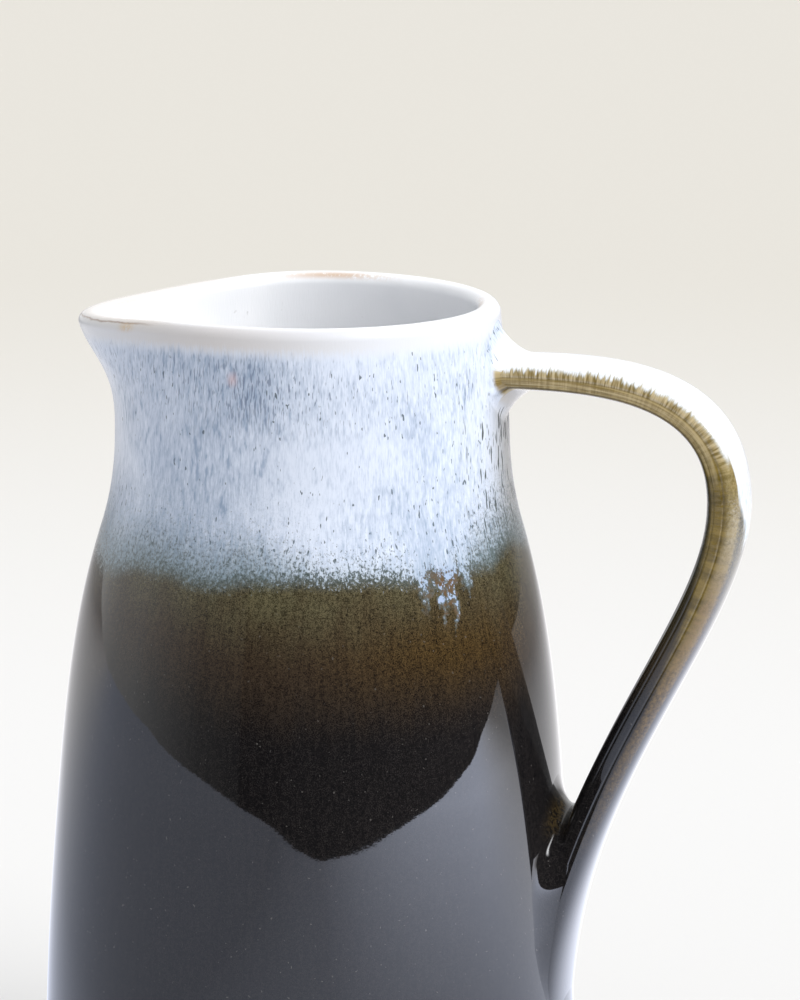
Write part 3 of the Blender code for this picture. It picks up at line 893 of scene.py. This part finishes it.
def upper_strap_colour(g, thin):
    """Strap down to its bend: olive and tan sides with a toothed edge to the white of its outer face."""
    teeth = g.noise(g.vector(g.along, 0.0, g.times(g.proud, 0.5)), 1.7, 2.0, 0.7)
    bars = g.noise(g.vector(g.along, 7.0, g.times(g.proud, 0.4)), 1.15, 2.0, 0.65)
    calmer = g.step(g.up, 177.5, 166.0, 1.0, 0.25)
    edge = g.step(g.up, 166.0, 152.0, -0.62, -1.02)
    toothed = g.plus(g.proud, g.times(g.off_middle(teeth, 1.05), calmer), edge)

    # Sides, with a crease, a dark line below, and an olive yellow at the bend
    tan = g.mix(g.step(bars, 0.36, 0.64), *STRAP_TAN)
    tan = g.mix(g.times(g.step(toothed, -0.22, 0.05), 0.65), tan, TOOTH_GREY)
    olive = g.mix(g.step(g.plus(g.lines, g.off_middle(bars, 0.5)), 0.35, 0.65), *STRAP_OLIVE)
    sides = g.mix(g.step(g.proud, 0.04, 0.14), olive, tan)
    sides = g.mix(g.times(g.bump_at(g.proud, 0.10, 0.09), 0.55), sides, CREASE_BROWN)
    sides = g.mix(g.times(g.bump_at(g.proud, -0.66, 0.17), 0.85), sides, UNDER_BROWN)
    yellow = g.mix(g.step(g.bands, 0.30, 0.70), *BEND_YELLOW)
    inner_edge = g.step(g.plus(g.proud, g.off_middle(g.lines, 0.3)), -0.35, -0.80)
    bend = g.mix(inner_edge, yellow, BEND_DARK)
    sides = g.mix(g.times(g.step(g.up, 168.0, 148.0), 0.85), sides, bend)

    # Outer face, and the inner one
    white = g.mix(g.times(thin, 0.6), *STRAP_WHITE)
    white = g.mix(g.times(g.step(g.up, 158.0, 146.0), g.step(g.strokes, 0.42, 0.60)), white, STRAP_BLUE)
    white = g.mix(g.step(g.proud, -0.50, -0.70), white, STRAP_BENEATH)
    return g.mix(g.times(g.on_side, g.step(toothed, 0.12, -0.10)), white, sides)


def leg_colour(g, dark):
    """Strap below its bend: ochre sides that darken to black, painted shade near the body, and a mottled
    golden arris.
    """
    ochre = g.mix(g.step(g.plus(g.bands, g.off_middle(g.fine, 0.3)), 0.30, 0.70), *LEG_OCHRE)
    # Painted shade: the ochre darkens towards the body, and more of it lower down
    shaded = g.plus(g.proud, g.off_middle(g.lines, 0.4), g.times(g.step(g.up, 146.0, 116.0), -0.75))
    ochre = g.mix(g.step(shaded, -0.35, -0.85), ochre, LEG_PAINTED_SHADE)
    high = g.step(g.plus(g.up, g.off_middle(g.grain, 8.0)), 106.0, 132.0)
    leg = g.mix(g.times(g.on_side, high), dark, ochre)
    width = g.line(g.up, 70.0, 125.0, -0.10, -0.30)
    arris = g.times(g.step(g.proud, 0.25, 0.50), g.step(g.side, width, -0.02))
    mottle = g.line(g.plus(g.times(g.grain, 0.7), g.times(g.fine, 0.3)), 0.40, 0.62, 0.25, 1.0)
    gold = g.times(arris, mottle, g.line(g.up, 76.0, 122.0, 0.0, 1.0))
    return g.mix(gold, leg, g.mix(g.step(g.up, 128.0, 148.0), *ARRIS_GOLD))


def strap_colour(g, thin, dark):
    """Whole strap: the pale glaze reaches further down the middle of its outer face."""
    drawn = g.vector(g.times(g.along, 0.12), g.times(g.across, 5.0), g.times(g.proud, 2.0))
    reach = g.plus(
        g.up,
        g.off_middle(g.noise(drawn, 1.0, 2.0, 0.6), 18.0),
        g.times(g.on_side, -6.0),
        g.times(g.step(g.math("ABSOLUTE", g.across), 0.2, 0.85), -9.0),
    )
    return g.mix(g.step(reach, 141.0, 147.0), leg_colour(g, dark), upper_strap_colour(g, thin))


def with_lip(g, colour):
    """White inside and lip, tan where the glaze thins over the edge, and the worn tip of the spout."""
    white = g.mix(g.step(g.cloud, 0.35, 0.7), *INSIDE_WHITE)
    pinholes = g.step(g.noise(g.solid, 0.9, 0.0), 0.80, 0.84)
    white = g.mix(g.times(pinholes, g.step(g.lip, 6.0, 12.0), 0.5), white, PINHOLE)
    colour = g.mix(g.step(g.lip, -1.6, 0.4), colour, white)
    worn = g.plus(*(g.times(g.bump_at(g.turn, at, width), much) for at, width, much in WORN_RIM))
    patchy = g.step(g.plus(g.grain, g.off_middle(g.cloud, 0.8)), 0.34, 0.60)
    colour = g.mix(g.times(g.bump_at(g.lip, 1.9, 1.5), worn, patchy, 0.75), colour, WORN_TAN)

    # Tip of the spout, with a fine line below it and an amber patch beside it
    worn_tip = g.times(g.bump_at(g.lip, -0.6, 3.4), g.step(g.east, -0.45, -0.75))
    colour = g.mix(g.times(worn_tip, 0.8), colour, TIP_BEIGE)
    wandering = g.plus(g.lip, g.off_middle(g.noise(g.solid, 0.35), 0.9))
    fine_line = g.times(g.bump_at(wandering, -1.75, 0.42), g.step(g.east, -0.62, -0.80))
    colour = g.mix(g.times(fine_line, 0.75), colour, TIP_LINE)
    beside = g.times(g.bump_at(wandering, -2.6, 1.6), g.bump_at(g.turn, -142.0, 5.5))
    return g.mix(g.times(beside, g.step(g.grain, 0.30, 0.60), 0.6), colour, TIP_AMBER)


def glaze(name):
    """The whole glaze of the jug, from the place on it: pale and streaked above, olive, then black."""
    g = Glaze(name)
    thin = thin_share(g)
    dark = dark_colour(g)
    covered = covered_share(g)
    body = g.mix(covered, bare_colour(g, dark), pale_colour(g, thin))

    # Strap, which blends into the body at the joints, and thin amber in the fork above the lower joint
    tight = g.times(g.on_side, g.step(g.up, 150.0, 165.0))
    on_strap = g.step(g.strap, g.blend(tight, 0.10, 0.42), g.blend(tight, 0.45, 0.75))
    colour = g.mix(on_strap, body, strap_colour(g, thin, dark))
    web = g.times(g.bump_at(g.strap, 0.5, 0.5), g.step(g.proud, -0.5, -0.9), g.bump_at(g.up, 91.0, 14.0))
    colour = g.mix(g.times(web, g.step(g.grain, 0.36, 0.60), 0.9), colour, WEB_AMBER)
    colour = with_lip(g, colour)

    # Bare clay under the foot ring
    foot = g.times(g.step(g.up, 1.9, 1.1), g.step(g.lip, -40.0, -80.0))
    colour = g.mix(foot, colour, g.mix(g.step(g.grain, 0.35, 0.7), *CLAY))

    matt = g.times(covered, g.without(g.strap))
    rough = g.plus(
        g.blend(matt, GLOSSY, SATIN), g.times(matt, g.off_middle(g.fine, 0.06)), g.times(web, 0.30)
    )
    relief = g.plus(
        g.times(g.noise(g.solid, 0.4), 0.003),
        g.times(g.noise(g.solid, 1.1), 0.010),
        g.times(covered, 0.30),
        g.times(covered, g.strokes, 0.25),
    )
    bump = g.add("ShaderNodeBump", {"Height": relief, "Strength": 0.5, "Distance": 0.0002})
    shader = g.tree.nodes["Principled BSDF"]
    g.put(colour, shader.inputs["Base Color"])
    g.put(g.blend(foot, rough, CLAY_ROUGH), shader.inputs["Roughness"])
    shader.inputs["IOR"].default_value = GLAZE_IOR
    g.put(bump.outputs[0], shader.inputs["Normal"])
    return g.material


# Floor, and a bright table top that only reflections see, with the outline of its near edge
FLOOR_HALF = 9.0
FLOOR_CORNERS = [(FLOOR_HALF * u, FLOOR_HALF * v) for u, v in ((-1, -1), (1, -1), (1, 1), (-1, 1))]
# Near and far floor colours: the darker far one is painted shade of light falling off with distance
FLOOR_GREY_AND_FAR_SHADE = ((0.715, 0.712, 0.712), (0.610, 0.588, 0.545))
TABLE_DROP = 0.001
TABLE_TINT = ((0.97, 0.96, 0.98), (0.76, 0.82, 1.0))
TABLE_CORNERS = (
    (-4.4, 3.2), (-1.80, 0.30), (-1.83, -0.22), (-1.55, -0.67), (-1.19, -0.90), (-0.845, -1.01),
    (-0.61, -1.06), (-0.40, -1.077), (-0.22, -1.03), (-0.085, -0.966), (0.024, -0.904), (0.112, -0.846),
    (0.18, -0.80), (0.236, -0.758), (0.318, -0.741), (0.398, -0.712), (0.482, -0.671), (0.559, -0.624),
    (0.652, -0.557), (0.747, -0.476), (0.849, -0.372), (0.943, -0.25), (1.006, -0.143), (1.09, -0.02),
    (1.487, 0.25), (2.46, 0.95), (5.0, 3.2),
)
UNSEEN_BY = ("camera", "diffuse", "shadow", "transmission", "volume_scatter")

# Soft sun: degrees to the right of the camera's own azimuth, then elevation and spread
SUN_AZIMUTH = 65
SUN_ELEVATION = 42
SUN_SPREAD = 60
SUN_POWER = 3.45
SUN_COLOUR = (1.0, 0.99, 0.97)

# Strength of the world where it lights the jug and where the camera sees it, and its colour
AMBIENT = 0.64
BACKDROP = 0.78
WORLD_COLOUR = (0.97, 0.985, 1.0, 1)

# Camera at the photograph's viewing angle: place in metres, lens and sensor in millimetres
CAMERA_TURN = math.radians(12.5)
CAMERA_PITCH = math.radians(11.6)
CAMERA_ROLL = math.radians(0.4)
CAMERA_PLACE = (AXIS_X + 0.24241, -1.00839, 0.36022)
CAMERA_LENS = 227.16
CAMERA_SENSOR = 36.0
CAMERA_FAR = 100.0


def make_sheet(name, corners, height, build):
    """A level sheet of the stage, whose material a function builds."""
    mesh = bpy.data.meshes.new(name)
    mesh.from_pydata([(AXIS_X + u, v, height) for u, v in corners], [], [tuple(range(len(corners)))])
    sheet = bpy.data.objects.new(name, mesh)
    bpy.context.scene.collection.objects.link(sheet)
    material = bpy.data.materials.new(name)
    material.use_nodes = True
    build(Nodes(material.node_tree))
    mesh.materials.append(material)
    return sheet


def build_floor(n):
    """Pale grey, a little warmer and darker far away: painted shade of light that falls off with distance.
    """
    place = n.add("ShaderNodeTexCoord").outputs["Object"]
    far = n.step(n.add("ShaderNodeVectorMath", {0: place}, operation="LENGTH").outputs["Value"], 0.3, 1.3)
    shader = n.tree.nodes["Principled BSDF"]
    n.put(n.mix(far, *FLOOR_GREY_AND_FAR_SHADE), shader.inputs["Base Color"])
    shader.inputs["Roughness"].default_value = 0.9
    shader.inputs["Specular IOR Level"].default_value = 0.1


def build_table(n):
    """A glow that is brighter and bluer at the right in front."""
    place = n.add("ShaderNodeTexCoord").outputs["Object"]
    split = n.add("ShaderNodeSeparateXYZ", {0: place})
    right = n.plus(split.outputs[0], n.times(split.outputs[1], 0.25))
    ahead = n.step(split.outputs[1], 0.45, 0.0)
    back = n.step(split.outputs[1], 0.30, 1.05, 1.0, 0.40)
    near = n.times(n.line(right, -0.27, 0.03, 1.0, 1.60), back, n.line(right, -0.9, 0.9, 1.28, 0.84))
    power = n.plus(near, n.times(n.line(right, 0.03, 0.78, 0.0, 4.6), ahead))
    glow = n.add("ShaderNodeEmission", {"Color": n.mix(ahead, *TABLE_TINT), "Strength": power})
    n.put(glow.outputs[0], n.tree.nodes["Material Output"].inputs["Surface"])


def make_stage():
    floor = make_sheet("floor", FLOOR_CORNERS, BODY_LOW[2], build_floor)
    floor.visible_glossy = False
    table = make_sheet("table_reflection", TABLE_CORNERS, BODY_LOW[2] - TABLE_DROP, build_table)
    for ray in UNSEEN_BY:
        setattr(table, f"visible_{ray}", False)


def add_sun():
    data = bpy.data.lights.new("key", "SUN")
    data.energy = SUN_POWER
    data.angle = math.radians(SUN_SPREAD)
    data.color = SUN_COLOUR
    light = bpy.data.objects.new("key", data)
    turn, rise = CAMERA_TURN + math.radians(SUN_AZIMUTH), math.radians(SUN_ELEVATION)
    toward = Vector((math.sin(turn) * math.cos(rise), -math.cos(turn) * math.cos(rise), math.sin(rise)))
    light.rotation_euler = toward.to_track_quat("Z", "Y").to_euler()
    light.visible_glossy = False
    bpy.context.scene.collection.objects.link(light)


def make_world():
    """Even light and a pale backdrop. Reflections see a dark room with soft light from a few bearings."""
    world = bpy.data.worlds.new("studio")
    bpy.context.scene.world = world
    world.use_nodes = True
    w = Nodes(world.node_tree)
    heading = w.add("ShaderNodeTexCoord").outputs["Generated"]
    sine, cosine = math.sin(CAMERA_TURN), math.cos(CAMERA_TURN)
    front, side = (
        w.add("ShaderNodeVectorMath", {0: heading, 1: way}, operation="DOT_PRODUCT").outputs["Value"]
        for way in ((sine, -cosine, 0.0), (cosine, sine, 0.0))
    )
    bearing = w.times(w.math("ARCTAN2", side, front), 180 / math.pi)
    lifted = w.add("ShaderNodeSeparateXYZ", {0: heading}).outputs[2]
    mirror = w.plus(
        w.times(w.bump_at(bearing, 58.0, 16.0), w.bump_at(lifted, 0.58, 0.16), 16.0),
        w.step(bearing, -33.0, -31.0, 0.10, 0.0),
        w.line(bearing, -52.0, -34.0, 0.13, 0.0),
        w.line(bearing, -92.0, -52.0, 0.80, 0.0),
        w.step(bearing, -13.5, -11.5, 0.0, 0.02),
        w.step(bearing, -113.0, -165.0, 0.0, 0.20),
        w.step(bearing, 117.0, 162.0, 0.0, 1.08),
    )
    rays = w.add("ShaderNodeLightPath")
    ambient = w.blend(rays.outputs["Is Camera Ray"], AMBIENT, BACKDROP)
    background = world.node_tree.nodes["Background"]
    background.inputs["Color"].default_value = WORLD_COLOUR
    w.put(w.blend(rays.outputs["Is Glossy Ray"], ambient, mirror), background.inputs["Strength"])


def make_camera():
    data = bpy.data.cameras.new("camera")
    data.sensor_fit = "HORIZONTAL"
    data.sensor_width = CAMERA_SENSOR
    data.lens = CAMERA_LENS
    data.clip_end = CAMERA_FAR
    camera = bpy.data.objects.new("camera", data)
    turned = Matrix.Rotation(CAMERA_TURN, 4, "Z") @ Matrix.Rotation(math.pi / 2 - CAMERA_PITCH, 4, "X")
    camera.matrix_world = Matrix.Translation(CAMERA_PLACE) @ turned @ Matrix.Rotation(CAMERA_ROLL, 4, "Z")
    bpy.context.scene.collection.objects.link(camera)
    bpy.context.scene.camera = camera


body = make_body()
strap = Strap()
handle = make_handle(strap)
upper_form = (UPPER_FILLET, UPPER_SPREAD, UPPER_NARROWNESS)
lower_form = (LOWER_FILLET, LOWER_SPREAD, LOWER_NARROWNESS)
upper_joint = make_joint("upper_joint_skin", strap, 0, *upper_form)
lower_joint = make_joint("lower_joint_skin", strap, strap.length, *lower_form)
pieces = (
    (body, "body", "body_glaze"),
    (handle, "handle", "handle_glaze"),
    (upper_joint, "upper_handle_joint", "upper_joint_glaze"),
    (lower_joint, "lower_handle_joint", "lower_joint_glaze"),
)
for piece, node, slot in pieces:
    face_outward(piece)
    piece.data.materials.append(glaze(slot))
    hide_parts(node)
    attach(piece, "root")

make_stage()
add_sun()
make_world()
make_camera()
bpy.context.scene.view_settings.view_transform = "Standard"

bpy.context.view_layer.update()
